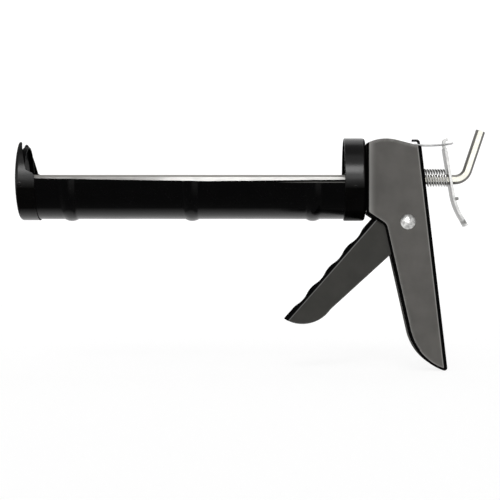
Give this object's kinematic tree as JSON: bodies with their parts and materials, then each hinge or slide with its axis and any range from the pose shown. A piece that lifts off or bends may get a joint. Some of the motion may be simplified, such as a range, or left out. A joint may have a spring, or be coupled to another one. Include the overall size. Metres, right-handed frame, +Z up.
{
  "type": "caulking gun",
  "caption": "Half-barrel caulking gun: beaded half-round cradle with slotted nose cap, hexagonal push rod with plunger, folded sheet handle, waved trigger and thumb release plate.",
  "frame": {"origin": "on the barrel axis, on the front face of the rear ring's back wall, where a cartridge's end seats", "axes": "+X back along the push rod, +Y to the far side, +Z up"},
  "size_m": [0.3174, 0.0564, 0.163],
  "materials": {
    "barrel_paint": "gloss black",
    "frame_paint": "satin black",
    "trigger_paint": "satin black",
    "zinc": "zinc plated",
    "rod_steel": "bright plated",
    "spring_steel": "bright wire",
    "hard_steel": "plain steel",
    "plunger_black": "black"
  },
  "bodies": {
    "tool": {"barrel_cradle": "barrel_paint", "front_cap": "barrel_paint", "rear_ring": "barrel_paint", "barrel_hub": "zinc", "hub_washer": "zinc", "handle_frame": "frame_paint", "pivot_rivet": "zinc", "pivot_washer_near": "zinc", "pivot_washer_far": "zinc", "release_link": "zinc", "brake_spring": "spring_steel", "drive_spring": "spring_steel"},
    "trigger": {"trigger": "trigger_paint"},
    "drive": {"drive_plate": "hard_steel"},
    "rod": {"push_rod": "rod_steel", "plunger_disc": "plunger_black", "plunger_backing": "plunger_black", "plunger_nut": "zinc"},
    "release": {"release_plate": "zinc"}
  },
  "joints": [
    {"name": "trigger_squeeze", "type": "hinge", "parent": "tool", "child": "trigger", "pos_m": [0.0298, 0, -0.029], "axis": [0, -1, 0], "range_deg": [0, 30], "stiffness_Nm_per_rad": 0.9, "springref_deg": -20.05},
    {"name": "drive_plate_slide", "type": "slide", "parent": "tool", "child": "drive", "axis": [-1, 0, 0], "range_m": [0, 0.0112], "deforming": ["drive_spring"]},
    {"name": "rod_slide", "type": "slide", "parent": "tool", "child": "rod", "axis": [1, 0, 0], "range_m": [0, 0.205]},
    {"name": "release_press", "type": "hinge", "parent": "tool", "child": "release", "pos_m": [0.0552, 0, 0.0233], "axis": [0, 1, 0], "range_deg": [0, 8], "stiffness_Nm_per_rad": 0.4, "springref_deg": -14.32, "deforming": ["brake_spring"]}
  ],
  "couplings": [
    {"joint": "drive_plate_slide", "follows": "trigger_squeeze", "m_per_rad": 0.020777}
  ]
}
